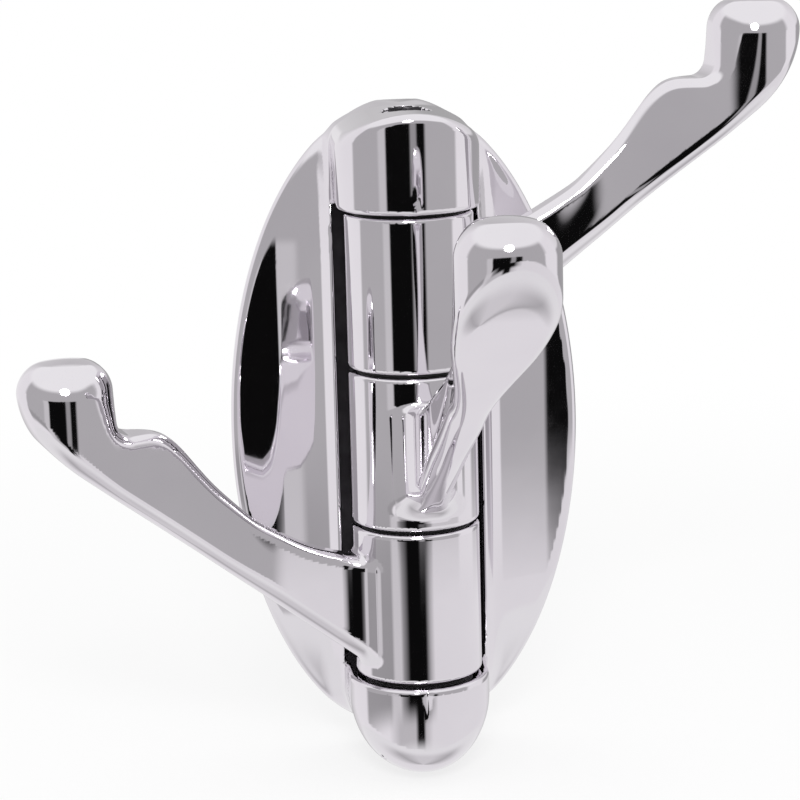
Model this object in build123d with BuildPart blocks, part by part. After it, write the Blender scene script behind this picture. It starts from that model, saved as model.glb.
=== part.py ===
from build123d import *
from math import asin, cos, degrees, radians, sin, tan
import os

# A wall-mounted swivel hook: an oval die-cast backplate carries three equal hooks
# on one vertical pivot pin. Millimetres, +Z up. The wall is the plane Y = 0, the
# part stands out towards -Y, and the origin is the centre of the back face.

os.makedirs("parts", exist_ok=True)

# Barrel stack on the pivot
BARREL_RADIUS = 11.0
BARREL_LENGTH = 26.4
BARREL_EDGE = 0.5
HOOK_COUNT = 3
WASHER_THICKNESS = 0.5
END_PLAY = 0.05
GAP = WASHER_THICKNESS + 2 * END_PLAY
PITCH = BARREL_LENGTH + GAP
WINDOW_HALF = (HOOK_COUNT * PITCH + GAP) / 2
WINDOW_SIDE_PLAY = 1.4
WINDOW_HALF_WIDTH = BARREL_RADIUS + WINDOW_SIDE_PLAY

# Pivot pin, sleeves and washers
AXIS_OUT = 16.0
PIN_RADIUS = 3.0
SNUG = 0.02
SLEEVE_PLAY = 0.05
SLEEVE_RADIUS = 4.2
SLEEVE_SHORT = 0.1
WASHER_RADIUS = 9.4
HEAD_RADIUS = 4.0
HEAD_HEIGHT = 2.0
SLOT_WIDTH = 1.1
SLOT_DEPTH = 0.9
HEAD_SUNK = 0.7
PIN_BEYOND_NUT = 1.6

# Nut that closes the pin below the window
NUT_FLATS = 10.0
NUT_HEIGHT = 5.0
NUT_WASHER_RADIUS = 5.9
NUT_WASHER_HEIGHT = 1.2

# Backplate shell: ledge and cavity above and below the window, then the end wall
LEDGE = 3.2
CAVITY_HEIGHT = 10.4
END_WALL = 3.1
CAVITY_NEAR = WINDOW_HALF + LEDGE
CAVITY_FAR = CAVITY_NEAR + CAVITY_HEIGHT
PLATE_HALF_HEIGHT = CAVITY_FAR + END_WALL
PLATE_HALF_WIDTH = 30.7
RIDGE_RADIUS = 12.2
FLARE_RADIUS = 23.0
FLARE_END = PLATE_HALF_WIDTH - 0.5
RIM_DEPTH = 2.7
WINDOW_EDGE = 0.4
RIM_ROUND = 1.6
RECESS_BORDER = 2.6
RECESS_DEPTH = 1.6
POCKET_FLOOR = 3.0
UPPER_CAVITY_DEPTH = 9.2
UPPER_CAVITY_HALF_WIDTH = 9.0
LOWER_CAVITY_DEPTH = AXIS_OUT + NUT_WASHER_RADIUS + 0.3
LOWER_CAVITY_HALF_WIDTH = 7.5
HEAD_TOP = PLATE_HALF_HEIGHT - HEAD_SUNK
NUT_TOP = -CAVITY_NEAR - NUT_WASHER_HEIGHT
PIN_END = NUT_TOP - NUT_HEIGHT - PIN_BEYOND_NUT

# Disc spring above the stack
SPRING_OUTER = 6.2
SPRING_INNER = 3.3
SPRING_THICKNESS = 0.5
SPRING_RISE = 0.4
SPRING_SEAT_RADIUS = 6.6
SPRING_SEAT_DEPTH = 1.0

# Wall bracket and the screw that locks the shell on it
SHEET = 1.5
STRIP_HALF_WIDTH = 8.0
STRIP_PLAY = 0.5
SCREW_HOLE_RADIUS = 2.25
SCREW_FROM_CAVITY_END = 6.2
SCREW_SPACING = 2 * (CAVITY_FAR - SCREW_FROM_CAVITY_END)
TAB_HALF_WIDTH = 4.5
TAB_REACH = 7.0
UPPER_TAB_TOP = CAVITY_FAR - 0.1
LOWER_TAB_BOTTOM = -CAVITY_FAR + 1.4
GRUB_RADIUS = 2.0
GRUB_OUT = 5.0
GRUB_SUNK = 0.4
GRUB_BOTTOM = -PLATE_HALF_HEIGHT + GRUB_SUNK
GRUB_KEY_FLATS = 2.0
GRUB_KEY_DEPTH = 1.8

# One hook, in its own upright plane: r from the pivot axis, z from the barrel's foot
ARM_FOOT = 3.1
ARM_SLOPE = 0.79
PAD_CENTRE = 60.0
PAD_HALF_WIDTH = 8.3
PAD_INNER = 52.2
PAD_BEYOND = PAD_CENTRE + PAD_HALF_WIDTH + 1.1
PAD_TOP_INNER = 59.6
PAD_TOP_OUTER = 60.8
TAPER = radians(17)
NECK_HALF_WIDTH = 3.1
NECK_BEND = 25.0
WAIST_R = 16.0
WAIST_BEND = 10.0
ROOT_R = BARREL_RADIUS - 3.0
ROOT_HALF_WIDTH = 4.4
ROOT_TOP = BARREL_LENGTH - 4.8
PAD_BEND = 12.0
TOP_ROUND = 3.0
ARM_ROUND = 1.6
HEADINGS = (94.0, 8.0, -76.0)
NAMES = ("upper", "middle", "lower")


def underside(r):
    return ARM_FOOT + ARM_SLOPE * (r - BARREL_RADIUS)


# Shell: a half-round ridge on a hollow flare, trimmed by the oval outline
with BuildPart() as backplate:
    with BuildSketch(Plane.XY.offset(-PLATE_HALF_HEIGHT)):
        with BuildLine():
            back = Line((0, 0), (PLATE_HALF_WIDTH, 0))
            rim = Line(back @ 1, (PLATE_HALF_WIDTH, -RIM_DEPTH))
            border = Line(rim @ 1, (FLARE_END, -RIM_DEPTH))
            turn = asin((FLARE_END - RIDGE_RADIUS) / FLARE_RADIUS)
            flare = CenterArc(
                (FLARE_END, -RIM_DEPTH - FLARE_RADIUS),
                FLARE_RADIUS,
                90,
                degrees(turn),
            )
            flank = Line(flare @ 1, (RIDGE_RADIUS, -AXIS_OUT))
            Line(flank @ 1, (0, -AXIS_OUT))
            Line((0, -AXIS_OUT), (0, 0))
        make_face()
        mirror(about=Plane.YZ)
        with Locations((0, -AXIS_OUT)):
            Circle(RIDGE_RADIUS)
    extrude(amount=2 * PLATE_HALF_HEIGHT)
    with BuildSketch(Plane.XZ):
        Ellipse(PLATE_HALF_WIDTH, PLATE_HALF_HEIGHT)
    extrude(amount=AXIS_OUT + 2 * RIDGE_RADIUS, mode=Mode.INTERSECT)
    # Window for the three barrels, with a thin floor behind them
    with BuildSketch(Plane.XZ.offset(POCKET_FLOOR)):
        Rectangle(2 * WINDOW_HALF_WIDTH, 2 * WINDOW_HALF)
    extrude(amount=AXIS_OUT + 2 * RIDGE_RADIUS, mode=Mode.SUBTRACT)
    front_edges = backplate.edges().filter_by(lambda e: e.bounding_box().max.Y < -RIM_DEPTH / 2)
    curved = front_edges.filter_by(lambda e: not e.geom_type == GeomType.LINE)
    outline_edges = curved.filter_by(lambda e: e.bounding_box().size.Z > 0.01)
    fillet(outline_edges, RIM_ROUND)
    upright = backplate.edges().filter_by(Axis.Z)
    window_sides = upright.filter_by(lambda e: abs(abs(e.center().X) - WINDOW_HALF_WIDTH) < 0.01)
    fillet(window_sides.filter_by(lambda e: e.center().Y < -2 * RIM_DEPTH), WINDOW_EDGE)
    # Shallow recess in the back for the wall bracket
    with BuildSketch(Plane.XZ):
        Ellipse(PLATE_HALF_WIDTH - RECESS_BORDER, PLATE_HALF_HEIGHT - RECESS_BORDER)
    extrude(amount=RECESS_DEPTH, mode=Mode.SUBTRACT)
    # Upper cavity behind the pin, lower cavity round its nut
    cavity_height = CAVITY_FAR - CAVITY_NEAR
    cavity_level = (CAVITY_FAR + CAVITY_NEAR) / 2
    with BuildSketch(Plane.XZ):
        with Locations((0, cavity_level)):
            Rectangle(2 * UPPER_CAVITY_HALF_WIDTH, cavity_height)
    extrude(amount=UPPER_CAVITY_DEPTH, mode=Mode.SUBTRACT)
    with BuildSketch(Plane.XZ):
        with Locations((0, -cavity_level)):
            Rectangle(2 * LOWER_CAVITY_HALF_WIDTH, cavity_height)
    extrude(amount=LOWER_CAVITY_DEPTH, mode=Mode.SUBTRACT)
    # Pin bore with a sunk seat for its head, and the seat of the disc spring
    with BuildSketch(Plane.XY.offset(PIN_END)):
        with Locations((0, -AXIS_OUT)):
            Circle(PIN_RADIUS + SNUG)
    extrude(amount=HEAD_TOP - PIN_END, mode=Mode.SUBTRACT)
    with BuildSketch(Plane.XY.offset(HEAD_TOP - HEAD_HEIGHT)):
        with Locations((0, -AXIS_OUT)):
            Circle(HEAD_RADIUS + SNUG)
    extrude(amount=PLATE_HALF_HEIGHT, mode=Mode.SUBTRACT)
    with BuildSketch(Plane.XY.offset(WINDOW_HALF)):
        with Locations((0, -AXIS_OUT)):
            Circle(SPRING_SEAT_RADIUS)
    extrude(amount=SPRING_SEAT_DEPTH, mode=Mode.SUBTRACT)
    # Hole of the locking screw in the bottom wall
    with BuildSketch(Plane.XY.offset(-PLATE_HALF_HEIGHT - 1)):
        with Locations((0, -GRUB_OUT)):
            Circle(GRUB_RADIUS + SNUG)
    extrude(amount=PLATE_HALF_HEIGHT + 1 - CAVITY_FAR + 0.5, mode=Mode.SUBTRACT)


# Pivot pin with a slotted head in the top wall
with BuildPart() as pivot_pin:
    with BuildSketch(Plane.XY.offset(PIN_END)):
        with Locations((0, -AXIS_OUT)):
            Circle(PIN_RADIUS)
    extrude(amount=HEAD_TOP - PIN_END - HEAD_HEIGHT / 2)
    with BuildSketch(Plane.XY.offset(HEAD_TOP - HEAD_HEIGHT)):
        with Locations((0, -AXIS_OUT)):
            Circle(HEAD_RADIUS)
    extrude(amount=HEAD_HEIGHT)
    chamfer(pivot_pin.faces().sort_by(Axis.Z)[-1].edges(), 0.3)
    chamfer(pivot_pin.faces().sort_by(Axis.Z)[0].edges(), 0.5)
    with BuildSketch(Plane.XY.offset(HEAD_TOP)):
        with Locations((0, -AXIS_OUT)):
            Rectangle(SLOT_WIDTH, 2 * HEAD_RADIUS + 1)
    extrude(amount=-SLOT_DEPTH, mode=Mode.SUBTRACT)


# Cone-shaped disc spring between the upper ledge and the top washer
with BuildPart() as disc_spring:
    spring_foot = WINDOW_HALF - END_PLAY
    with BuildSketch(Plane.XZ.offset(AXIS_OUT)):
        with BuildLine():
            Polyline(
                (SPRING_OUTER, spring_foot),
                (SPRING_OUTER, spring_foot + SPRING_THICKNESS),
                (SPRING_INNER, spring_foot + SPRING_THICKNESS + SPRING_RISE),
                (SPRING_INNER, spring_foot + SPRING_RISE),
                close=True,
            )
        make_face()
    revolve(axis=Axis((0, -AXIS_OUT, 0), (0, 0, 1)))


# Washer and hexagon nut under the lower ledge, in the lower cavity
with BuildPart() as nut_washer:
    with BuildSketch(Plane.XY.offset(-CAVITY_NEAR)):
        with Locations((0, -AXIS_OUT)):
            Circle(NUT_WASHER_RADIUS)
            Circle(PIN_RADIUS + 2 * SNUG, mode=Mode.SUBTRACT)
    extrude(amount=-NUT_WASHER_HEIGHT)
    chamfer(nut_washer.edges().filter_by(GeomType.CIRCLE).sort_by(SortBy.RADIUS)[-2:], 0.2)

with BuildPart() as pivot_nut:
    with BuildSketch(Plane.XY.offset(NUT_TOP)):
        with Locations((0, -AXIS_OUT)):
            RegularPolygon(NUT_FLATS / 2, 6, major_radius=False)
            Circle(PIN_RADIUS + SNUG, mode=Mode.SUBTRACT)
    extrude(amount=-NUT_HEIGHT)
    with BuildSketch(Plane.XZ.offset(AXIS_OUT)):
        with BuildLine():
            Polyline(
                (0, NUT_TOP),
                (NUT_FLATS / 2, NUT_TOP),
                (NUT_FLATS / 2 + 1.2, NUT_TOP - 0.7),
                (NUT_FLATS / 2 + 1.2, NUT_TOP - NUT_HEIGHT + 0.7),
                (NUT_FLATS / 2, NUT_TOP - NUT_HEIGHT),
                (0, NUT_TOP - NUT_HEIGHT),
                close=True,
            )
        make_face()
    revolve(axis=Axis((0, -AXIS_OUT, 0), (0, 0, 1)), mode=Mode.INTERSECT)


# Folded steel bracket: flat strip, two screw holes, a tab at each end
with BuildPart() as wall_bracket:
    with BuildSketch(Plane.XZ):
        Ellipse(
            PLATE_HALF_WIDTH - RECESS_BORDER - STRIP_PLAY,
            PLATE_HALF_HEIGHT - RECESS_BORDER - STRIP_PLAY,
        )
        Rectangle(2 * STRIP_HALF_WIDTH, 2 * UPPER_TAB_TOP, mode=Mode.INTERSECT)
    extrude(amount=SHEET)
    for tab_level in (UPPER_TAB_TOP - SHEET / 2, LOWER_TAB_BOTTOM + SHEET / 2):
        with BuildSketch(Plane.XZ):
            with Locations((0, tab_level)):
                Rectangle(2 * TAB_HALF_WIDTH, SHEET)
        extrude(amount=TAB_REACH)
    with BuildSketch(Plane.XZ):
        with GridLocations(1, SCREW_SPACING, 1, 2):
            Circle(SCREW_HOLE_RADIUS)
    extrude(amount=SHEET, mode=Mode.SUBTRACT)


# Locking screw with a hexagon socket, pressed up against the lower tab
with BuildPart() as grub_screw:
    with BuildSketch(Plane.XY.offset(GRUB_BOTTOM)):
        with Locations((0, -GRUB_OUT)):
            Circle(GRUB_RADIUS)
    extrude(amount=LOWER_TAB_BOTTOM - GRUB_BOTTOM)
    chamfer(grub_screw.edges().filter_by(GeomType.CIRCLE), 0.25)
    with BuildSketch(Plane.XY.offset(GRUB_BOTTOM)):
        with Locations((0, -GRUB_OUT)):
            RegularPolygon(GRUB_KEY_FLATS / 2, 6, major_radius=False)
    extrude(amount=GRUB_KEY_DEPTH, mode=Mode.SUBTRACT)


# Rising arm with its upright pad, pointing along +X from the pivot axis
with BuildPart() as arm:
    with BuildSketch(Plane.XZ):
        with BuildLine():
            FilletPolyline(
                (ROOT_R, ARM_FOOT),
                (PAD_BEYOND, underside(PAD_BEYOND)),
                (PAD_BEYOND, PAD_TOP_OUTER),
                (PAD_INNER, PAD_TOP_INNER),
                (PAD_INNER, 47.0),
                (45.0, 44.2),
                (32.0, 31.6),
                (20.0, 25.0),
                (ROOT_R, ROOT_TOP),
                close=True,
                radius=(0, PAD_BEND, 0, 0, 2.5, 5, 12, 8, 0),
            )
        make_face()
    extrude(amount=PAD_HALF_WIDTH + 2, both=True)
    with BuildSketch(Plane.XY):
        with BuildLine():
            touch_r = PAD_CENTRE - PAD_HALF_WIDTH * sin(TAPER)
            touch_half = PAD_HALF_WIDTH * cos(TAPER)
            corner_r = touch_r - (touch_half - NECK_HALF_WIDTH) / tan(TAPER)
            side = FilletPolyline(
                (touch_r, touch_half),
                (corner_r, NECK_HALF_WIDTH),
                (WAIST_R, NECK_HALF_WIDTH),
                (ROOT_R, ROOT_HALF_WIDTH),
                radius=(NECK_BEND, WAIST_BEND),
            )
            mirror(side, about=Plane.XZ)
            pad_tip = (PAD_CENTRE + PAD_HALF_WIDTH, 0)
            ThreePointArc((touch_r, touch_half), pad_tip, (touch_r, -touch_half))
            Line((ROOT_R, ROOT_HALF_WIDTH), (ROOT_R, -ROOT_HALF_WIDTH))
        make_face()
    extrude(amount=PAD_TOP_OUTER + 2, mode=Mode.INTERSECT)
    fillet(arm.faces().sort_by(Axis.Z)[-1].edges(), TOP_ROUND)
    outside = arm.edges().filter_by(lambda e: e.bounding_box().max.X > BARREL_RADIUS)
    fillet(outside.filter_by(lambda e: e.bounding_box().max.Z < PAD_TOP_INNER - TOP_ROUND / 2), ARM_ROUND)

# One casting: barrel, arm and the bore of the sleeve
with BuildPart() as casting:
    Cylinder(BARREL_RADIUS, BARREL_LENGTH, align=(Align.CENTER, Align.CENTER, Align.MIN))
    fillet(casting.edges().filter_by(GeomType.CIRCLE), BARREL_EDGE)
    add(arm.part)
    Cylinder(
        SLEEVE_RADIUS + SNUG,
        BARREL_LENGTH,
        align=(Align.CENTER, Align.CENTER, Align.MIN),
        mode=Mode.SUBTRACT,
    )

# Plastic sleeve pressed into the barrel, and the flat washer between two barrels
with BuildPart() as sleeve:
    sleeve_length = BARREL_LENGTH - 2 * SLEEVE_SHORT
    with BuildSketch(Plane.XY.offset(SLEEVE_SHORT)):
        Circle(SLEEVE_RADIUS)
        Circle(PIN_RADIUS + SLEEVE_PLAY, mode=Mode.SUBTRACT)
    extrude(amount=sleeve_length)

with BuildPart() as washer:
    with BuildSketch():
        Circle(WASHER_RADIUS)
        Circle(PIN_RADIUS + 2 * SLEEVE_PLAY, mode=Mode.SUBTRACT)
    extrude(amount=WASHER_THICKNESS)


# Everything in its place, one STEP file for each piece
def place(shape, label, level, heading=0):
    with BuildPart() as placed:
        with Locations(Location((0, -AXIS_OUT, level), (0, 0, heading - 90))):
            add(shape)
    placed.part.label = label
    export_step(placed.part, "parts/" + label + ".step")


for index, name in enumerate(NAMES):
    foot = WINDOW_HALF - (index + 1) * PITCH
    place(casting.part, "hook_" + name, foot, HEADINGS[index])
    place(sleeve.part, "sleeve_" + name, foot, HEADINGS[index])

for index, name in enumerate(("top", "upper", "lower", "bottom")):
    place(washer.part, "washer_" + name, WINDOW_HALF - index * PITCH - GAP + END_PLAY)

for label, piece in (
    ("backplate", backplate),
    ("pivot_pin", pivot_pin),
    ("disc_spring", disc_spring),
    ("nut_washer", nut_washer),
    ("pivot_nut", pivot_nut),
    ("wall_bracket", wall_bracket),
    ("grub_screw", grub_screw),
):
    piece.part.label = label
    export_step(piece.part, "parts/" + label + ".step")
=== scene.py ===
import math

import bpy
import numpy as np
from mathutils import Matrix, Vector


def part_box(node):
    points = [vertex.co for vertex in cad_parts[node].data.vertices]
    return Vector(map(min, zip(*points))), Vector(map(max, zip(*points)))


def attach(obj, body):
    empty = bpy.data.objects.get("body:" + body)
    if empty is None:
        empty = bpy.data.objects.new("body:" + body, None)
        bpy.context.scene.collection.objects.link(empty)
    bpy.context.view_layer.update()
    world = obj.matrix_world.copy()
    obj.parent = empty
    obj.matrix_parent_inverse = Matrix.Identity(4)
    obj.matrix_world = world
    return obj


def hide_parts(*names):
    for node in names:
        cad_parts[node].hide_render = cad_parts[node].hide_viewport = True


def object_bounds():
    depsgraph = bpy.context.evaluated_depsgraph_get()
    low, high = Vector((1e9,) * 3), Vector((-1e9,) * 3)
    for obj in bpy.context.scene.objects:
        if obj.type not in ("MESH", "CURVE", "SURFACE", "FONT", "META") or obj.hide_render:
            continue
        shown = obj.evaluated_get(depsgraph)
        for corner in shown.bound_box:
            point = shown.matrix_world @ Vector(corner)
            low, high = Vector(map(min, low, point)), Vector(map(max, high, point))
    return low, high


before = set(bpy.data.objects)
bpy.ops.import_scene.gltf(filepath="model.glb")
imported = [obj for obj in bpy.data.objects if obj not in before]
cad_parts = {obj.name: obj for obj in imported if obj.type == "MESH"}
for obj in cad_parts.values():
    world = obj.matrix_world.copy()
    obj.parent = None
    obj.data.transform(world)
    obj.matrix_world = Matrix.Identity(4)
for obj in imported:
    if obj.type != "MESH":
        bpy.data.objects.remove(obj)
CAD_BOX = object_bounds()

bl_info = {
    "name": "Swivel triple hook",
    "version": (1, 0, 0),
    "blender": (4, 5, 0),
    "location": "3D View > Sidebar > Hook",
    "description": "Finishes, studio and camera of a wall hook with three swivelling arms",
    "category": "Object",
}

MM = 0.001

# Width of the picture in pixels, and width of the camera's sensor in millimetres
PICTURE_WIDTH = 800
SENSOR_MM = 36.0

# Camera's distance in millimetres, and pixels of the picture to a millimetre at that distance
CAMERA_DISTANCE = 450.0
PIXELS_PER_MM = 5.814

ARMS = ("upper", "middle", "lower")


def linear(code):
    """sRGB hex code to linear RGBA."""
    out = []
    for i in (1, 3, 5):
        v = int(code[i:i + 2], 16) / 255
        out.append(v / 12.92 if v <= 0.04045 else ((v + 0.055) / 1.055) ** 2.4)
    return (*out, 1.0)


def colour(code, name, description):
    """Colour setting from its hex code."""
    return bpy.props.FloatVectorProperty(
        name=name, description=description, subtype="COLOR", size=4, min=0, max=1, default=linear(code)
    )


def millimetres(value, name, description):
    """Length setting from its size in millimetres."""
    return bpy.props.FloatProperty(
        name=name,
        description=description,
        default=value * MM,
        min=0.00001,
        unit="LENGTH",
        subtype="DISTANCE",
    )


def angle(value, name, description):
    """Angle setting from its degrees."""
    return bpy.props.FloatProperty(
        name=name,
        description=description,
        default=math.radians(value),
        unit="ROTATION",
        subtype="ANGLE",
    )


class ChromeSettings(bpy.types.PropertyGroup):
    plating: colour("#EBE8EC", "Plating", "Colour of the polished chrome")
    haze: colour("#DDD9DF", "Haze", "Colour where the polish is a little duller")
    polish: bpy.props.FloatProperty(
        name="Polish", description="Roughness of the polished faces", default=0.045, min=0.0, max=1.0
    )
    wave: millimetres(9.0, "Wave", "Length of the soft waves that the casting leaves under the plating")
    wave_depth: millimetres(0.012, "Wave depth", "Height of those waves")


class ArmSettings(bpy.types.PropertyGroup):
    barrel_radius: millimetres(11.0, "Barrel radius", "Outer radius of the barrel")
    barrel_length: millimetres(26.4, "Barrel length", "Height of the barrel")
    barrel_round: millimetres(0.7, "Barrel rounding", "Rounding of the barrel's two ends")
    bore: millimetres(4.22, "Bore", "Radius of the hole for the sleeve")
    neck: millimetres(3.2, "Neck", "Half the width of the arm between barrel and pad")
    pad: millimetres(8.1, "Pad", "Half the width of the pad")
    pad_centre: millimetres(60.15, "Pad centre", "From the pivot to the centre of the pad's round end")
    pad_inner: millimetres(52.7, "Pad inner face", "From the pivot to the upright face of the pad")
    pad_top: millimetres(60.1, "Pad top", "From the barrel's foot to the crown of the pad")
    pad_round: millimetres(4.0, "Pad rounding", "Rounding of the pad's crown")
    root_round: millimetres(8.0, "Root rounding", "Rounding between barrel and arm, seen from above")
    edge_round: millimetres(2.9, "Lower edge rounding", "Rounding along the arm's lower edge")
    upper_round: millimetres(1.9, "Upper edge rounding", "Rounding along the arm's upper edge")
    draft: angle(8.5, "Draft", "Lean of the arm's flanks between barrel and pad")
    foot: millimetres(3.1, "Foot", "Height of the arm's lower edge where it leaves the barrel")
    slope: bpy.props.FloatProperty(name="Slope", description="Rise of the arm's lower edge", default=0.79)
    cell: millimetres(0.5, "Cell", "Size of the mesh's faces")
    upper: angle(94, "Upper heading", "Where the upper arm points; 0 is straight out")
    middle: angle(8, "Middle heading", "Where the middle arm points")
    lower: angle(-76, "Lower heading", "Where the lower arm points")


class PlateSettings(bpy.types.PropertyGroup):
    half_width: millimetres(30.7, "Half width", "Half the width of the oval")
    half_height: millimetres(57.5, "Half height", "Half the height of the oval")
    axis_out: millimetres(16.0, "Axis", "From the wall to the axis of the pivot")
    ridge: millimetres(12.2, "Ridge", "Radius of the half-round ridge")
    rim_round: millimetres(1.5, "Rim rounding", "Rounding of the oval rim")
    foot_round: millimetres(6.0, "Foot rounding", "Rounding of the ridge's lower end")
    window_half: millimetres(40.8, "Window", "Half the height of the window for the barrels")
    window_side: millimetres(12.4, "Window side", "Half the width of the window")
    window_round: millimetres(0.8, "Window rounding", "Rounding of the window's edge")
    floor_out: millimetres(3.0, "Window floor", "From the wall to the floor of the window")
    recess: millimetres(1.6, "Recess", "Depth of the recess in the back")
    border: millimetres(2.6, "Border", "Width of the rim round the recess")
    cell: millimetres(0.52, "Cell", "Size of the mesh's faces")
    # Painted shade: dark colour for the window and the seat of the pin's head, so that those gaps look deep
    window_shade_colour: colour("#4A484B", "Bare casting", "Colour inside the window, where the plating is thin and dull")


class FittingSettings(bpy.types.PropertyGroup):
    zinc: colour("#B9BBC0", "Zinc plating", "Colour of the bracket, the nut and its washer")
    spring: colour("#6E6C6B", "Spring steel", "Colour of the disc spring")
    oxide: colour("#1F1F22", "Black oxide", "Colour of the locking screw")
    washer: colour("#141415", "Washer plastic", "Colour of the flat washers")
    sleeve: colour("#DCD9D0", "Sleeve plastic", "Colour of the sleeves in the barrels")


class StudioSettings(bpy.types.PropertyGroup):
    azimuth: angle(-5.9, "Azimuth", "Direction of the camera, seen from above")
    elevation: angle(12.85, "Elevation", "Height of the camera above the horizon")
    roll: angle(-1.46, "Roll", "Tilt of the camera about its own line of sight")
    distance: millimetres(CAMERA_DISTANCE, "Distance", "From the middle of the pivot to the camera")
    focal_pixels: bpy.props.FloatProperty(
        name="Focal length",
        description="Focal length in pixels of the picture",
        default=PIXELS_PER_MM * CAMERA_DISTANCE,
    )
    aim_x: bpy.props.FloatProperty(name="Aim X", description="Sideways aim in millimetres", default=12.7)
    aim_z: bpy.props.FloatProperty(name="Aim Z", description="Upward aim in millimetres", default=42.7)
    floor_gap: millimetres(1.0, "Floor gap", "From the lowest edge to the floor")


def node(tree, kind, settings=None, **links):
    """Adds a node; settings hold attributes or input values, links hold sockets by input name."""
    made = tree.nodes.new(kind)
    for key, value in (settings or {}).items():
        if isinstance(key, str) and hasattr(made, key):
            setattr(made, key, value)
        else:
            made.inputs[key].default_value = value
    for key, socket in links.items():
        name = key.replace("_", " ")
        where = int(key[1:]) if key[0] == "i" and key[1:].isdigit() else name
        tree.links.new(socket, made.inputs[where])
    return made


def new_material(name):
    """Material with one shader, its node tree and that shader."""
    material = bpy.data.materials.new(name)
    material.use_nodes = True
    tree = material.node_tree
    tree.nodes.clear()
    output = tree.nodes.new("ShaderNodeOutputMaterial")
    shader = tree.nodes.new("ShaderNodeBsdfPrincipled")
    tree.links.new(shader.outputs[0], output.inputs[0])
    return material, tree, shader


def finish_node(name, material):
    """Gives a solid of the part its finish."""
    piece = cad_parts[name]
    piece.data.materials.clear()
    piece.data.materials.append(material)


def ramp(tree, factor, stops):
    """Colour ramp with straight runs between its stops."""
    made = tree.nodes.new("ShaderNodeValToRGB")
    elements = made.color_ramp.elements
    while len(elements) > 1:
        elements.remove(elements[-1])
    for index, (place, value) in enumerate(stops):
        element = elements[0] if index == 0 else elements.new(place)
        element.position = place
        element.color = value if len(value) == 4 else (*value, 1.0)
    tree.links.new(factor, made.inputs[0])
    return made


# Widths of the cloudy haze and of the marks that the buffing wheel leaves in the chrome
HAZE_PATCH = 26 * MM
BUFF_MARK = 3 * MM


def chrome(name, settings, polish_gain=1.0):
    """Bright chrome plating over a polished zinc casting: a mirror with a soft wave and a faint haze."""
    material, tree, shader = new_material(name)
    place = node(tree, "ShaderNodeTexCoord").outputs["Object"]
    haze = node(
        tree,
        "ShaderNodeTexNoise",
        {"Scale": 1 / HAZE_PATCH, "Detail": 3.0, "Roughness": 0.6},
        Vector=place,
    )
    tint = node(tree, "ShaderNodeMix", {"data_type": "RGBA"})
    tree.links.new(haze.outputs["Fac"], tint.inputs["Factor"])
    tint.inputs[6].default_value = settings.plating
    tint.inputs[7].default_value = settings.haze
    tree.links.new(tint.outputs[2], shader.inputs["Base Color"])
    buff = node(
        tree,
        "ShaderNodeTexNoise",
        {"Scale": 1 / BUFF_MARK, "Detail": 5.0, "Roughness": 0.65},
        Vector=place,
    )
    gloss = node(
        tree,
        "ShaderNodeMapRange",
        {
            "From Min": 0.3,
            "From Max": 0.75,
            "To Min": settings.polish * 0.55 * polish_gain,
            "To Max": settings.polish * 1.5 * polish_gain,
        },
        Value=buff.outputs["Fac"],
    )
    tree.links.new(gloss.outputs[0], shader.inputs["Roughness"])
    shader.inputs["Metallic"].default_value = 1.0
    wave = node(
        tree,
        "ShaderNodeTexNoise",
        {"Scale": 1 / settings.wave, "Detail": 1.0, "Roughness": 0.4},
        Vector=place,
    )
    bump = node(
        tree,
        "ShaderNodeBump",
        {"Strength": 1.0, "Distance": settings.wave_depth},
        Height=wave.outputs["Fac"],
    )
    tree.links.new(bump.outputs[0], shader.inputs["Normal"])
    return material


def plated_steel(name, base, patch, roughness=0.34):
    """Electroplated steel: a satin metal with cloudy patches a few millimetres wide."""
    material, tree, shader = new_material(name)
    place = node(tree, "ShaderNodeTexCoord").outputs["Object"]
    cloud = node(tree, "ShaderNodeTexNoise", {"Scale": 1 / patch, "Detail": 4.0}, Vector=place)
    tone = ramp(
        tree,
        cloud.outputs["Fac"],
        [(0.3, [c * 0.72 for c in base[:3]]), (0.7, [min(1.0, c * 1.15) for c in base[:3]])],
    )
    tree.links.new(tone.outputs[0], shader.inputs["Base Color"])
    rough = node(
        tree,
        "ShaderNodeMapRange",
        {"To Min": roughness * 0.7, "To Max": roughness * 1.35},
        Value=cloud.outputs["Fac"],
    )
    tree.links.new(rough.outputs[0], shader.inputs["Roughness"])
    shader.inputs["Metallic"].default_value = 1.0
    grain = node(tree, "ShaderNodeTexNoise", {"Scale": 1 / (0.4 * MM), "Detail": 2.0}, Vector=place)
    bump = node(
        tree, "ShaderNodeBump", {"Strength": 0.5, "Distance": 0.01 * MM}, Height=grain.outputs["Fac"]
    )
    tree.links.new(bump.outputs[0], shader.inputs["Normal"])
    return material


def painted_shade_metal(name, settings):
    """Painted shade: a dark satin metal put inside the window and in the seat of the pin's head, so that
    those gaps look deep.
    """
    return plated_steel(name, settings.window_shade_colour, 3 * MM, roughness=0.42)


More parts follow.
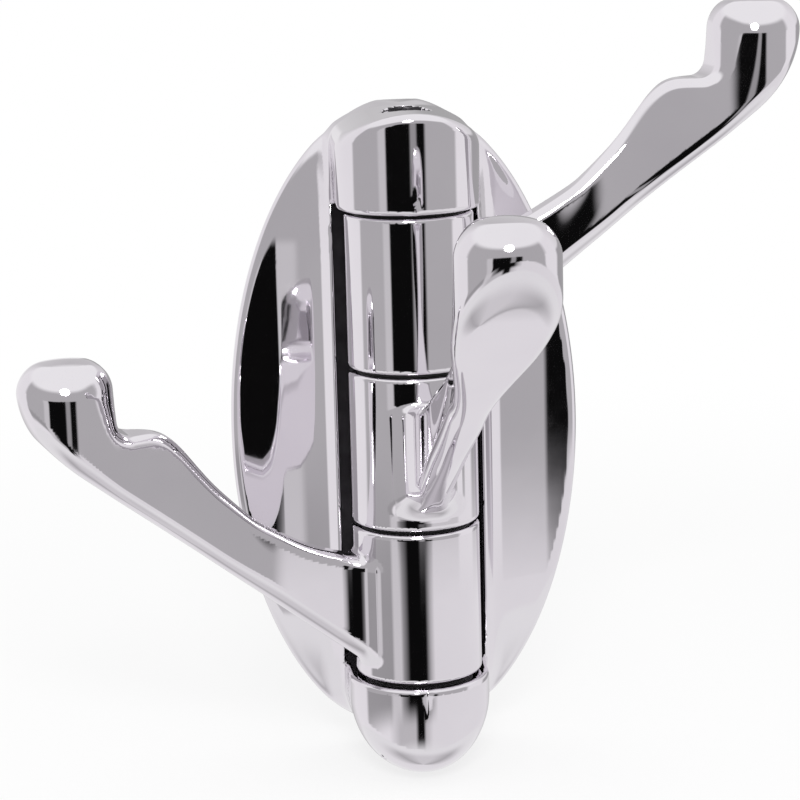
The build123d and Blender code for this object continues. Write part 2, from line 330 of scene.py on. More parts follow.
def moulded_plastic(name, base):
    """Injection-moulded plastic: a matt, finely eroded surface."""
    material, tree, shader = new_material(name)
    place = node(tree, "ShaderNodeTexCoord").outputs["Object"]
    cloud = node(tree, "ShaderNodeTexNoise", {"Scale": 1 / (4 * MM), "Detail": 3.0}, Vector=place)
    tone = ramp(
        tree,
        cloud.outputs["Fac"],
        [(0.3, [c * 0.85 for c in base[:3]]), (0.7, [min(1.0, c * 1.1) for c in base[:3]])],
    )
    tree.links.new(tone.outputs[0], shader.inputs["Base Color"])
    grain = node(tree, "ShaderNodeTexNoise", {"Scale": 1 / (0.5 * MM), "Detail": 2.0}, Vector=place)
    rough = node(
        tree, "ShaderNodeMapRange", {"To Min": 0.42, "To Max": 0.62}, Value=grain.outputs["Fac"]
    )
    tree.links.new(rough.outputs[0], shader.inputs["Roughness"])
    bump = node(
        tree, "ShaderNodeBump", {"Strength": 0.6, "Distance": 0.02 * MM}, Height=grain.outputs["Fac"]
    )
    tree.links.new(bump.outputs[0], shader.inputs["Normal"])
    return material


def both(a, b, radius):
    """The space in both solids, its edge rounded; a and b are distances to their surfaces."""
    corner = np.hypot(np.maximum(a + radius, 0), np.maximum(b + radius, 0))
    return np.minimum(np.maximum(a, b), -radius) + corner


def either(a, b, radius):
    """The space in either solid, with a hollow fillet between them."""
    corner = np.hypot(np.maximum(radius - a, 0), np.maximum(radius - b, 0))
    return np.maximum(np.minimum(a, b), radius) - corner


# Upper edge of the arm in its own upright plane: out from the pivot, up from the barrel's foot
ARM_TOP = ((0, 21.2), (12, 21.6), (20, 24.4), (29, 29.6), (36, 36.6), (42, 44.6), (45, 46.9), (80, 47.3))
# Softness of that edge's corners, the step of the tables, and the softening's reach in steps
EDGE_BLUR = 1.5
TABLE_STEP = 0.1
BLUR_STEPS = 60

# Distance from the pivot at which the arm starts to widen toward the pad
WIDENS_FROM = 37.0
# Share of the root rounding's radius that its arc covers
ROOT_SHARE = 0.72
# Distances from the pivot between which the flanks lean, and how far each end takes to come in
LEAN_FROM = 24
LEAN_GROWS = 12
LEAN_TO = 60
LEAN_FADES = 8
# Height above the lower edge where the lean leaves the width as it is, and how far above it stops
LEAN_PIVOT = 4.0
LEAN_TOP = 12
# Radii of the pad's crown, along the arm and across it
CROWN_ALONG = 25
CROWN_ACROSS = 16
# Rounding from the pad's upright face to its crown, and the hollow at that face's foot
CROWN_EDGE = 4.0
CROOK = 2.6
# Height at which the upper rounding starts to grow, and how far it takes to reach the pad's own
CROWN_FROM = 46
CROWN_GROWS = 9
# The lower edge curls up from this far inside the pad's centre, with this radius
CURL_FROM = 1.0
CURL_RADIUS = 19
# Hollow between the arm and the barrel
ROOT_HOLLOW = 1.0


def arm_top_table():
    """The upper edge as a smooth curve."""
    out = np.arange(-20.0, 90.0, TABLE_STEP)
    line = np.interp(out, *np.array(ARM_TOP, float).T)
    places = np.arange(-BLUR_STEPS, BLUR_STEPS + 1) * TABLE_STEP
    spread = np.exp(-0.5 * (places / EDGE_BLUR) ** 2)
    return out, np.convolve(np.pad(line, BLUR_STEPS, mode="edge"), spread / spread.sum(), mode="valid")


def curl(r, sizes):
    """How far a place lies past the start of the curl under the pad's outer end."""
    return np.maximum(r - sizes["pad_centre"] + CURL_FROM, 0)


def underside(r, sizes):
    """Height of the arm's lower edge; it curls up under the pad's outer end."""
    straight = sizes["foot"] + sizes["slope"] * (r - sizes["barrel_radius"])
    return straight + curl(r, sizes) ** 2 / (2 * CURL_RADIUS)


def casting_field(points, sizes):
    """Distance in millimetres from points to the surface of one casting, below zero inside it.

    r is the distance along the arm, t the distance to its side and z the height.
    """
    r, t, z = points
    side = np.abs(t)
    from_axis = np.hypot(r, t)
    grow = np.clip((r - WIDENS_FROM) / (sizes["pad_centre"] - WIDENS_FROM), 0, 1)
    rise = sizes["pad"] - sizes["neck"]
    half = sizes["neck"] + rise * grow * grow * (3 - 2 * grow)
    lean = rise * 6 * grow * (1 - grow) / (sizes["pad_centre"] - WIDENS_FROM)
    bend = sizes["root_round"]
    turn_out = math.sqrt((sizes["barrel_radius"] + bend) ** 2 - (sizes["neck"] + bend) ** 2)
    into = np.clip(turn_out - r, 0, bend * ROOT_SHARE)
    half = half + bend - np.sqrt(bend ** 2 - into ** 2)
    span = np.clip((r - LEAN_FROM) / LEAN_GROWS, 0, 1) * np.clip((LEAN_TO - r) / LEAN_FADES, 0, 1)
    lean_in = sizes["draft"] * span * span * (3 - 2 * span)
    below = underside(r, sizes)
    half = half - np.clip(z - below - LEAN_PIVOT, -LEAN_PIVOT, LEAN_TOP) * lean_in
    lean = np.where(r < turn_out, -into / np.sqrt(bend ** 2 - into ** 2), lean)
    plan = np.where(
        r < sizes["pad_centre"],
        (side - half) / np.sqrt(1 + lean ** 2 + lean_in ** 2),
        np.hypot(r - sizes["pad_centre"], t) - sizes["pad"],
    )
    table_out, table_top = arm_top_table()
    top = np.interp(r, table_out, table_top)
    tilt = np.interp(r, table_out, np.gradient(table_top, TABLE_STEP))
    over = (z - top) / np.sqrt(1 + tilt ** 2)
    from_centre = r - sizes["pad_centre"]
    crown = sizes["pad_top"] - from_centre ** 2 / (2 * CROWN_ALONG) - t * t / (2 * CROWN_ACROSS)
    block = both(sizes["pad_inner"] - r, z - crown, CROWN_EDGE)
    crowning = np.clip((z - CROWN_FROM) / CROWN_GROWS, 0, 1)
    upper_round = sizes["upper_round"] + (sizes["pad_round"] - sizes["upper_round"]) * crowning
    arm = both(either(over, block, CROOK), plan, upper_round)
    pitch = sizes["slope"] + curl(r, sizes) / CURL_RADIUS
    arm = both(arm, (below - z) / np.sqrt(1 + pitch ** 2), sizes["edge_round"])
    arm = np.maximum(arm, -r)
    middle = sizes["barrel_length"] / 2
    barrel = both(from_axis - sizes["barrel_radius"], np.abs(z - middle) - middle, sizes["barrel_round"])
    return np.maximum(either(arm, barrel, ROOT_HOLLOW), sizes["bore"] - from_axis)


# Empty space round a solid in the grid that skin works on
MARGIN = 0.8
# Steps that move the corners onto the surface, the share of the way that each goes, the length
# over which the slope is measured as a share of a cell, and the least slope that is trusted
SKIN_STEPS = 9
STEP_SHARE = 0.9
SLOPE_SHARE = 0.02
LEAST_SLOPE = 0.2
# A surface with fewer corners than this has gone wrong
FEWEST_CORNERS = 1000


def skin(field, low, high, cell):
    """Mesh of the surface where field is zero: one corner in each cell that it crosses, moved onto it."""
    axes = [np.arange(a, b + cell, cell) for a, b in zip(low, high)]
    grid = np.meshgrid(*axes, indexing="ij")
    value = field(grid)
    inside = value < 0
    shape = tuple(n - 1 for n in value.shape)
    total = np.zeros((*shape, 3))
    count = np.zeros(shape)
    edges = []
    for axis in range(3):
        first = [slice(None)] * 3
        second = [slice(None)] * 3
        first[axis], second[axis] = slice(None, -1), slice(1, None)
        a, b = value[tuple(first)], value[tuple(second)]
        crossed = inside[tuple(first)] != inside[tuple(second)]
        where = np.argwhere(crossed)
        share = (a / np.where(crossed, a - b, 1.0))[crossed]
        point = np.stack([axes[k][where[:, k]] for k in range(3)], -1)
        point[:, axis] += share * cell
        others = [k for k in range(3) if k != axis]
        for i in (0, 1):
            for j in (0, 1):
                cell_index = where.copy()
                cell_index[:, others[0]] -= i
                cell_index[:, others[1]] -= j
                np.add.at(total, tuple(cell_index.T), point)
                np.add.at(count, tuple(cell_index.T), 1)
        edges.append((axis, others, where, inside[tuple(first)][crossed]))
    used = count > 0
    if used.sum() < FEWEST_CORNERS:
        raise RuntimeError("the casting has no surface")
    number = np.full(shape, -1)
    number[used] = np.arange(used.sum())
    corners = total[used] / count[used][:, None]
    step = cell * SLOPE_SHARE
    for _ in range(SKIN_STEPS):
        here = field(corners.T)
        slope = np.stack(
            [
                (field((corners + step * unit).T) - field((corners - step * unit).T)) / (2 * step)
                for unit in np.eye(3)
            ],
            -1,
        )
        steepness = np.maximum((slope ** 2).sum(1), LEAST_SLOPE)[:, None]
        corners = corners - STEP_SHARE * here[:, None] * slope / steepness
    faces = []
    for axis, others, where, starts_inside in edges:
        ring = []
        for i, j in ((0, 0), (1, 0), (1, 1), (0, 1)):
            cell_index = where.copy()
            cell_index[:, others[0]] -= i
            cell_index[:, others[1]] -= j
            ring.append(number[tuple(cell_index.T)])
        ring = np.stack(ring, -1)
        flip = starts_inside if axis != 1 else ~starts_inside
        ring[~flip] = ring[~flip][:, ::-1]
        faces.append(ring)
    normals = slope / np.linalg.norm(slope, axis=1)[:, None]
    corners = np.clip(corners, np.array(low) + MARGIN, np.array(high) - MARGIN)
    return corners, np.concatenate(faces), normals


def in_millimetres(settings, names):
    """The named lengths of a group of settings, as plain numbers of millimetres."""
    return {name: getattr(settings, name) / MM for name in names}


def casting_skin(settings):
    """Surface of one casting, its barrel standing on the origin and its arm along +X, in millimetres."""
    names = (
        "barrel_radius", "barrel_length", "barrel_round", "bore", "neck", "pad", "pad_centre", "pad_inner",
        "pad_top", "pad_round", "root_round", "edge_round", "upper_round", "foot",
    )
    sizes = in_millimetres(settings, names)
    sizes["draft"] = math.tan(settings.draft)
    sizes["slope"] = settings.slope
    room = sizes["barrel_radius"] + MARGIN
    low = (-room, -room, -MARGIN)
    high = (sizes["pad_centre"] + sizes["pad"] + MARGIN, room, sizes["pad_top"] + MARGIN)
    return skin(lambda points: casting_field(points, sizes), low, high, settings.cell / MM)


def solid_piece(name, corners, faces, normals):
    """One smooth chrome piece from its surface in metres."""
    mesh = bpy.data.meshes.new(name)
    mesh.from_pydata(corners.tolist(), [], faces.tolist())
    mesh.update()
    mesh.shade_smooth()
    mesh.normals_split_custom_set_from_vertices(normals.tolist())
    mesh.materials.append(bpy.data.materials["chrome_plated_zinc_die_casting"])
    piece = bpy.data.objects.new(name, mesh)
    bpy.context.scene.collection.objects.link(piece)
    return piece


# Slope of the hollow flare in degrees, by distance from the plate's middle
FLARE = (
    (0, 56), (14.2, 56), (15.2, 43), (16.6, 32), (19, 27), (21.6, 24), (22.8, 17), (24, 11), (25.6, 6.5),
    (28.5, 4.5), (30.7, 3),
)
# Thickness of the rim, and how far from the middle the flare has come down to it
RIM_OUT = 2.7
RIM_AT = 30.2
# Softness of the change from the flare to the level rim
RIM_BLEND = 0.5
# Part of the rim's thickness that its rounding leaves upright, and the largest such rounding
RIM_UPRIGHT = 1.2
RIM_ROUND_MOST = 7.0
# Further up or down than this the flange stands lower, along a parabola
FALL_FROM = 28.0
FALL = 0.0125
# Below this height the front of the ridge falls toward the wall, along a parabola
SINK_FROM = -41.0
SINK = 0.0041
# The ridge starts this far above and below the middle, inside the window's ends
RIDGE_FROM = 38.0
RIDGE_HOLLOW = 1.2
# Roundings of the recess, of the hollows' mouths and of the edge that stands on the wall
RECESS_ROUND = 0.6
MOUTH_ROUND = 0.35
BACK_ROUND = 0.5

# Pockets in the back, above and below: heights, half widths and depths from the wall
POCKET_NEAR = 44.0
POCKET_FAR = 54.4
BRACKET_POCKET_HALF = 9.0
BRACKET_POCKET_DEEP = 9.2
NUT_POCKET_HALF = 7.5
NUT_POCKET_DEEP = 22.2
# Hole for the pin and the sunk seat of its head: radii and heights
PIN_HOLE = 3.02
PIN_HOLE_FOOT = -51.8
PIN_HOLE_TOP = 56.8
HEAD_SEAT = 4.02
HEAD_SEAT_FOOT = 54.8
# Seat of the disc spring: radius, height of its middle and half its depth
SPRING_SEAT = 6.6
SPRING_SEAT_AT = 40.8
SPRING_SEAT_HALF = 1.0
# Hole of the locking screw: radius, distance from the wall and upper end
SCREW_HOLE = 2.02
SCREW_OUT = 5.0
SCREW_TOP = -53.9


def flare_table():
    """Depth of the flange by distance from the middle, in millimetres, and its slope."""
    across = np.arange(0.0, 34.0, TABLE_STEP)
    slope = np.tan(np.radians(np.interp(across, *np.array(FLARE, float).T)))
    depth = np.cumsum(slope[::-1])[::-1] * TABLE_STEP
    return across, depth - np.interp(RIM_AT, across, depth) + RIM_OUT, slope


def shaft(x, z, half, low, high):
    """Distance to a rectangular shaft square to the wall, between two heights."""
    return np.maximum(np.abs(x) - half, np.maximum(low - z, z - high))


def plate_field(points, sizes, table):
    """Distance in millimetres to the surface of the backplate, below zero inside it.

    x is the distance to the side, out the distance from the wall and z the height.
    """
    x, out, z = points
    a, b, axis = sizes["half_width"], sizes["half_height"], sizes["axis_out"]
    oval = np.sqrt((x / a) ** 2 + (z / b) ** 2)
    pull = np.maximum(np.hypot(x / a ** 2, z / b ** 2), 1e-4)
    edge = (oval ** 2 - 1) / (2 * pull)
    across, depth, slope = table
    beyond = np.maximum(np.abs(z) - FALL_FROM, 0)
    rise = np.interp(np.abs(x), across, depth) - FALL * beyond ** 2 - RIM_OUT
    here = RIM_OUT + (rise + np.sqrt(rise ** 2 + RIM_BLEND ** 2)) / 2
    lean = np.interp(np.abs(x), across, slope)
    rim_round = np.clip(here - RIM_UPRIGHT, sizes["rim_round"], RIM_ROUND_MOST)
    flange = both(edge, (out - here) / np.sqrt(1 + lean ** 2 + (2 * FALL * beyond) ** 2), rim_round)
    sunk = axis - SINK * np.maximum(SINK_FROM - z, 0) ** 2
    front = np.where(out > sunk, np.hypot(x, out - sunk), np.abs(x)) - sizes["ridge"]
    end_round = np.where(z > 0, sizes["rim_round"], sizes["foot_round"])
    ridge = both(edge, front, end_round)
    ridge = np.maximum(ridge, RIDGE_FROM - np.abs(z))
    solid = either(flange, ridge, RIDGE_HOLLOW)
    opening = shaft(x, z, sizes["window_side"], -sizes["window_half"], sizes["window_half"])
    window = np.maximum(opening, sizes["floor_out"] - out)
    solid = both(solid, -window, sizes["window_round"])
    inner = np.sqrt((x / (a - sizes["border"])) ** 2 + (z / (b - sizes["border"])) ** 2)
    inner_edge = (inner - 1) * (a - sizes["border"])
    bracket_pocket = shaft(x, z, BRACKET_POCKET_HALF, POCKET_NEAR, POCKET_FAR)
    nut_pocket = shaft(x, z, NUT_POCKET_HALF, -POCKET_FAR, -POCKET_NEAR)
    from_axis = np.hypot(x, out - axis)
    hollows = [
        np.maximum(bracket_pocket, out - BRACKET_POCKET_DEEP),
        np.maximum(nut_pocket, out - NUT_POCKET_DEEP),
        np.maximum(from_axis - PIN_HOLE, np.maximum(z - PIN_HOLE_TOP, PIN_HOLE_FOOT - z)),
        np.maximum(from_axis - HEAD_SEAT, HEAD_SEAT_FOOT - z),
        np.maximum(from_axis - SPRING_SEAT, np.abs(z - SPRING_SEAT_AT) - SPRING_SEAT_HALF),
        np.maximum(np.hypot(x, out - SCREW_OUT) - SCREW_HOLE, z - SCREW_TOP),
    ]
    recess = both(inner_edge, out - sizes["recess"], RECESS_ROUND)
    solid = both(solid, -recess, RECESS_ROUND)
    for hollow in hollows:
        solid = both(solid, -hollow, MOUTH_ROUND)
    return both(solid, -out, BACK_ROUND)


# Painted shade: dark satin metal inside the window, with this much slack at its sides, its ends and past
# the recess, and up to this distance from the wall; the same painted shade goes in the seat of the pin's
# head
WALL_SLACK = 0.1 * MM
END_SLACK = 0.2 * MM
RECESS_SLACK = 0.5 * MM
SHADE_OUT_TO = 9.6 * MM
SHADED_SEAT = 4.15 * MM
SHADED_SEAT_FOOT = 54.6 * MM


class HOOK_OT_backplate(bpy.types.Operator):
    """Backplate: oval flange that flares hollow into a half-round ridge, with the window for the barrels"""

    bl_idname = "hook.backplate"
    bl_label = "Backplate"

    def execute(self, context):
        settings = context.scene.hook_plate
        names = (
            "half_width", "half_height", "axis_out", "ridge", "rim_round", "foot_round", "window_half",
            "window_side", "window_round", "floor_out", "recess", "border",
        )
        sizes = in_millimetres(settings, names)
        table = flare_table()
        cell = settings.cell / MM
        low = (-sizes["half_width"] - MARGIN, -MARGIN, -sizes["half_height"] - MARGIN)
        high = (-low[0], sizes["axis_out"] + sizes["ridge"] + MARGIN, -low[2])
        corners, faces, normals = skin(lambda points: plate_field(points, sizes, table), low, high, cell)
        toward_wall = np.array((1, -1, 1))
        piece = solid_piece(
            "backplate_casting", corners * toward_wall * MM, faces[:, ::-1], normals * toward_wall
        )
        # Second finish: painted shade, a dark metal in the window and in the seat of the pin's head
        piece.data.materials.append(painted_shade_metal("painted_shade_in_the_window", settings))
        inside_half = settings.window_half - END_SLACK
        inside_side = settings.window_side + WALL_SLACK
        for face in piece.data.polygons:
            x, y, z = face.center
            shaded_in_window = abs(x) < inside_side and abs(z) < inside_half
            shaded_in_window = shaded_in_window and -SHADE_OUT_TO < y < -settings.recess - RECESS_SLACK
            shaded_in_seat = math.hypot(x, y + settings.axis_out) < SHADED_SEAT and z > SHADED_SEAT_FOOT
            if shaded_in_window or shaded_in_seat:
                face.material_index = 1
        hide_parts("backplate")
        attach(piece, "base")
        return {"FINISHED"}


class HOOK_OT_hooks(bpy.types.Operator):
    """Three equal castings: barrel, rising spoon-shaped arm and upright pad"""

    bl_idname = "hook.castings"
    bl_label = "Hooks"

    def execute(self, context):
        settings = context.scene.hook_arm
        corners, faces, normals = casting_skin(settings)
        for arm in ARMS:
            low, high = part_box("sleeve_" + arm)
            centre = (low + high) / 2
            foot = centre.z - settings.barrel_length / 2
            turn = np.array(Matrix.Rotation(getattr(settings, arm) - math.pi / 2, 3, "Z"))
            places = corners @ turn.T * MM + np.array((centre.x, centre.y, foot))
            piece = solid_piece("hook_" + arm + "_casting", places, faces, normals @ turn.T)
            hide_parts("hook_" + arm)
            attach(piece, arm + "_hook")
        return {"FINISHED"}


class HOOK_OT_chrome_pieces(bpy.types.Operator):
    """Chrome for the castings, and the pivot pin in bright chrome"""

    bl_idname = "hook.chrome_pieces"
    bl_label = "Chrome pieces"

    def execute(self, context):
        settings = context.scene.hook_chrome
        chrome("chrome_plated_zinc_die_casting", settings)
        turned = chrome("chrome_plated_turned_steel", settings, polish_gain=3.0)
        finish_node("pivot_pin", turned)
        return {"FINISHED"}


class HOOK_OT_fittings(bpy.types.Operator):
    """Bracket, nut, washers, spring, sleeves and locking screw"""

    bl_idname = "hook.fittings"
    bl_label = "Fittings"

    def execute(self, context):
        settings = context.scene.hook_fittings
        zinc = plated_steel("zinc_plated_steel_sheet", settings.zinc, 5 * MM)
        for name in ("wall_bracket", "pivot_nut", "nut_washer"):
            finish_node(name, zinc)
        finish_node("disc_spring", plated_steel("oiled_spring_steel", settings.spring, 2 * MM))
        oxide = plated_steel("black_oxide_steel", settings.oxide, 1 * MM, roughness=0.45)
        finish_node("grub_screw", oxide)
        washer = moulded_plastic("moulded_black_nylon", settings.washer)
        for place in ("top", "upper", "lower", "bottom"):
            finish_node("washer_" + place, washer)
        sleeve = moulded_plastic("moulded_natural_acetal", settings.sleeve)
        for arm in ARMS:
            finish_node("sleeve_" + arm, sleeve)
        return {"FINISHED"}


# Studio as the chrome sees it: brightness by direction, in degrees from the viewer's side
# (0 is straight in front, positive to the viewer's right), as linear greys
BLACK = 0.004
GREY = 0.50
LIGHT = 0.93
SIDE_STOPS = (
    (-180, 0.85), (-146, LIGHT), (-103, LIGHT), (-99, GREY), (-54, GREY), (-50, 0.66),
    (-41, 0.66), (-38, BLACK), (-2, BLACK), (1, 0.35), (8, 0.35), (11, BLACK), (21, BLACK), (25, GREY),
    (75, GREY), (80, LIGHT), (114, LIGHT), (122, 0.42), (180, 0.40),
)
LOW_STOPS = (
    (-180, 0.45), (-140, LIGHT), (-106, LIGHT), (-100, 0.40), (-55, 0.38), (-50, 0.70), (-38, 0.70),
    (-33, 0.35), (-22, BLACK), (8, BLACK), (16, GREY), (24, 0.86), (136, 0.88), (180, 0.45),
)
FOOT_STOPS = (
    (-180, 0.60), (-140, LIGHT), (-60, LIGHT), (-40, 0.60), (-14, 0.60), (-9, BLACK), (0, BLACK),
    (4, 0.60), (16, 0.86), (140, 0.88), (180, 0.60),
)
TABLE_STOPS = (
    (-180, 0.90), (-130, 0.90), (-70, 0.50), (-20, 0.74), (25, 0.74), (80, 0.50), (130, 0.90), (180, 0.90),
)
HIGH_STOPS = (
    (-180, 0.60), (-146, LIGHT), (-108, LIGHT), (-100, GREY), (25, GREY), (75, GREY), (85, LIGHT),
    (114, LIGHT), (180, 0.60),
)
# Elevations in degrees between which each of those layers goes over into the next, from below up;
# a bright strip lies between the table and the foot layer, and the ceiling is white
TABLE_TO_STRIP = (-58.0, -36.0)
STRIP_TO_FOOT = (-30.0, -27.0)
FOOT_TO_LOW = (-25.0, -20.0)
LOW_TO_SIDE = (-16.5, -12.5)
SIDE_TO_HIGH = (3.0, 8.0)
HIGH_TO_CEILING = (28.0, 40.0)
STRIP = 0.90
CEILING = 1.0
# Green as a share of red and blue in what the chrome reflects, and the grey that matt pieces see
GREEN_SHARE = 0.985
ROOM = 0.92


def studio_world():
    """Surroundings in layers: the chrome reflects them, matt pieces see a plain grey, the camera white."""
    world = bpy.data.worlds.new("studio")
    bpy.context.scene.world = world
    world.use_nodes = True
    tree = world.node_tree
    tree.nodes.clear()
    output = tree.nodes.new("ShaderNodeOutputWorld")
    direction = node(tree, "ShaderNodeTexCoord").outputs["Generated"]
    part = node(tree, "ShaderNodeSeparateXYZ", Vector=direction)
    forward = node(tree, "ShaderNodeMath", {"operation": "MULTIPLY", 1: -1.0}, i0=part.outputs["Y"])
    turn = node(
        tree, "ShaderNodeMath", {"operation": "ARCTAN2"}, i0=part.outputs["X"], i1=forward.outputs[0]
    )
    around = node(
        tree,
        "ShaderNodeMapRange",
        {"From Min": -math.pi, "From Max": math.pi},
        Value=turn.outputs[0],
    )
    height = node(tree, "ShaderNodeMath", {"operation": "ARCSINE"}, i0=part.outputs["Z"])

    def band(stops):
        places = [((a + 180) / 360, (v, v * GREEN_SHARE, v)) for a, v in stops]
        return ramp(tree, around.outputs[0], places)

    def between(low, high):
        return node(
            tree,
            "ShaderNodeMapRange",
            {
                "interpolation_type": "SMOOTHSTEP",
                "From Min": math.radians(low),
                "From Max": math.radians(high),
            },
            Value=height.outputs[0],
        ).outputs[0]

    def layer(factor, below, above):
        made = node(tree, "ShaderNodeMix", {"data_type": "RGBA"})
        tree.links.new(factor, made.inputs["Factor"])
        for slot, value in ((6, below), (7, above)):
            if isinstance(value, float):
                made.inputs[slot].default_value = (value, value, value, 1.0)
            else:
                tree.links.new(value, made.inputs[slot])
        return made.outputs[2]

    side = band(SIDE_STOPS).outputs[0]
    low = band(LOW_STOPS).outputs[0]
    high = band(HIGH_STOPS).outputs[0]
    seen = layer(between(*LOW_TO_SIDE), low, side)
    seen = layer(between(*SIDE_TO_HIGH), seen, high)
    foot = band(FOOT_STOPS).outputs[0]
    seen = layer(between(*FOOT_TO_LOW), foot, seen)
    seen = layer(between(*STRIP_TO_FOOT), STRIP, seen)
    seen = layer(between(*TABLE_TO_STRIP), band(TABLE_STOPS).outputs[0], seen)
    seen = layer(between(*HIGH_TO_CEILING), seen, CEILING)
    mirror = node(tree, "ShaderNodeBackground", {"Strength": 1.0}, Color=seen)
    plain = node(tree, "ShaderNodeBackground", {"Strength": 1.0, "Color": (ROOM, ROOM, ROOM, 1.0)})
    white = node(tree, "ShaderNodeBackground", {"Strength": 1.0, "Color": (1.0, 1.0, 1.0, 1.0)})
    ray = node(tree, "ShaderNodeLightPath")
    glossy = node(tree, "ShaderNodeMixShader", i0=ray.outputs["Is Glossy Ray"])
    tree.links.new(plain.outputs[0], glossy.inputs[1])
    tree.links.new(mirror.outputs[0], glossy.inputs[2])
    shown = node(tree, "ShaderNodeMixShader", i0=ray.outputs["Is Camera Ray"])
    tree.links.new(glossy.outputs[0], shown.inputs[1])
    tree.links.new(white.outputs[0], shown.inputs[2])
    tree.links.new(shown.outputs[0], output.inputs[0])


# The paper's grey, how much of its own white it gives near the hook, and the distances in metres
# from the frame's origin between which that share grows to the whole
PAPER = 0.86
WHITE_NEAR = 0.72
WHITE_FROM = 0.12
WHITE_TO = 0.34


def floor_material():
    """Pale seamless paper: white to the camera, with a soft shadow."""
    material = bpy.data.materials.new("white_background_paper")
    material.use_nodes = True
    tree = material.node_tree
    tree.nodes.clear()
    output = tree.nodes.new("ShaderNodeOutputMaterial")
    paper = node(tree, "ShaderNodeBsdfDiffuse", {"Color": (PAPER, PAPER, PAPER, 1.0)})
    glow = node(tree, "ShaderNodeEmission", {"Strength": 1.0, "Color": (1.0, 1.0, 1.0, 1.0)})
    ray = node(tree, "ShaderNodeLightPath")
    place = node(tree, "ShaderNodeTexCoord").outputs["Object"]
    reach = node(tree, "ShaderNodeVectorMath", {"operation": "LENGTH"}, i0=place)
    fade = node(
        tree,
        "ShaderNodeMapRange",
        {
            "interpolation_type": "SMOOTHSTEP",
            "From Min": WHITE_FROM,
            "From Max": WHITE_TO,
            "To Min": WHITE_NEAR,
            "To Max": 1.0,
        },
        Value=reach.outputs["Value"],
    )
    share = node(
        tree,
        "ShaderNodeMath",
        {"operation": "MULTIPLY"},
        i0=ray.outputs["Is Camera Ray"],
        i1=fade.outputs[0],
    )
    mix = node(tree, "ShaderNodeMixShader", i0=share.outputs[0])
    tree.links.new(paper.outputs[0], mix.inputs[1])
    tree.links.new(glow.outputs[0], mix.inputs[2])
    tree.links.new(mix.outputs[0], output.inputs[0])
    return material


# The lamp: a soft disc above the camera, with its place and width in metres and its power in watts
LAMP_PLACE = (-0.05, -0.62, 0.42)
LAMP_WIDTH = 0.24
LAMP_POWER = 2.2


def key_lamp(target):
    """The one lamp; it gives the white spot in each pad and the soft shadow on the paper."""
    data = bpy.data.lights.new("key", "AREA")
    data.shape = "DISK"
    data.size = LAMP_WIDTH
    data.energy = LAMP_POWER
    lamp = bpy.data.objects.new("key", data)
    bpy.context.scene.collection.objects.link(lamp)
    lamp.location = LAMP_PLACE
    lamp.rotation_mode = "QUATERNION"
    lamp.rotation_quaternion = (Vector(target) - Vector(LAMP_PLACE)).to_track_quat("-Z", "Y")


def camera(settings, pivot_out):
    """Camera of the photo: it circles the middle of the pivot and then aims a little beside it."""
    azimuth, elevation, roll = settings.azimuth, settings.elevation, settings.roll
    distance, focal = settings.distance, settings.focal_pixels
    level = math.cos(elevation)
    back = Vector((math.sin(azimuth) * level, -math.cos(azimuth) * level, math.sin(elevation)))
    place = Vector((0, -pivot_out, 0)) + back * distance
    ahead = -back
    up_axis = Vector((0, 0, 1))
    right = ahead.cross(up_axis).normalized()
    up = right.cross(ahead)
    ahead = (ahead - right * settings.aim_x / focal + up * settings.aim_z / focal).normalized()
    right = ahead.cross(up_axis).normalized()
    up = right.cross(ahead)
    turned_right = right * math.cos(roll) + up * math.sin(roll)
    turned_up = up * math.cos(roll) - right * math.sin(roll)
    data = bpy.data.cameras.new("camera")
    data.sensor_width = SENSOR_MM
    data.lens = focal / PICTURE_WIDTH * SENSOR_MM
    data.clip_start, data.clip_end = 0.01, 20.0
    made = bpy.data.objects.new("camera", data)
    bpy.context.scene.collection.objects.link(made)
    axes = Matrix((turned_right, turned_up, -ahead)).transposed()
    made.matrix_world = Matrix.Translation(place) @ axes.to_4x4()
    bpy.context.scene.camera = made


# Half the width of the square of paper, in metres
FLOOR_HALF = 2.0


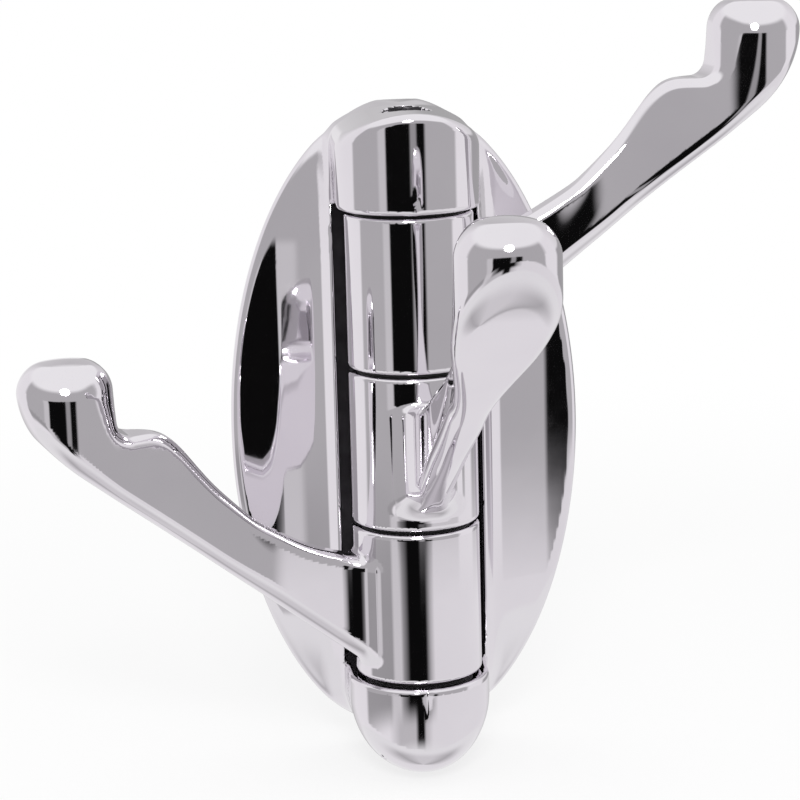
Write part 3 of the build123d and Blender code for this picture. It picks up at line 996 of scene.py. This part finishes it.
class HOOK_OT_studio(bpy.types.Operator):
    """Camera, floor, lamp and the surroundings that the chrome reflects"""

    bl_idname = "hook.studio"
    bl_label = "Studio"

    def execute(self, context):
        settings = context.scene.hook_studio
        low, high = CAD_BOX
        scene = context.scene
        scene.view_settings.view_transform = "Standard"
        studio_world()
        mesh = bpy.data.meshes.new("floor")
        level = low.z - settings.floor_gap
        mesh.from_pydata(
            [(x * FLOOR_HALF, y * FLOOR_HALF, level) for x, y in ((-1, -1), (1, -1), (1, 1), (-1, 1))],
            [],
            [(0, 1, 2, 3)],
        )
        floor = bpy.data.objects.new("floor", mesh)
        scene.collection.objects.link(floor)
        mesh.materials.append(floor_material())
        floor.visible_glossy = False
        middle = (low + high) / 2
        key_lamp(middle)
        camera(settings, scene.hook_plate.axis_out)
        return {"FINISHED"}


class HOOK_PT_panel(bpy.types.Panel):
    """Buttons that build each group, and its sizes and colours"""

    bl_label = "Swivel triple hook"
    bl_idname = "HOOK_PT_panel"
    bl_space_type = "VIEW_3D"
    bl_region_type = "UI"
    bl_category = "Hook"

    def draw(self, context):
        for made in OPERATORS:
            self.layout.operator(made.bl_idname)
        for group in GROUPS:
            settings = getattr(context.scene, group)
            box = self.layout.box()
            for name in settings.bl_rna.properties.keys():
                if name not in ("rna_type", "name"):
                    box.prop(settings, name)


GROUPS = {
    "hook_chrome": ChromeSettings,
    "hook_plate": PlateSettings,
    "hook_arm": ArmSettings,
    "hook_fittings": FittingSettings,
    "hook_studio": StudioSettings,
}
OPERATORS = (HOOK_OT_chrome_pieces, HOOK_OT_backplate, HOOK_OT_hooks, HOOK_OT_fittings, HOOK_OT_studio)


def register():
    for made in (*GROUPS.values(), *OPERATORS, HOOK_PT_panel):
        bpy.utils.register_class(made)
    for name, group in GROUPS.items():
        setattr(bpy.types.Scene, name, bpy.props.PointerProperty(type=group))


def unregister():
    for name in GROUPS:
        delattr(bpy.types.Scene, name)
    for made in reversed((*GROUPS.values(), *OPERATORS, HOOK_PT_panel)):
        bpy.utils.unregister_class(made)


def main():
    """Builds every group in order."""
    register()
    bpy.ops.hook.chrome_pieces()
    bpy.ops.hook.backplate()
    bpy.ops.hook.castings()
    bpy.ops.hook.fittings()
    bpy.ops.hook.studio()


if __name__ == "__main__":
    main()
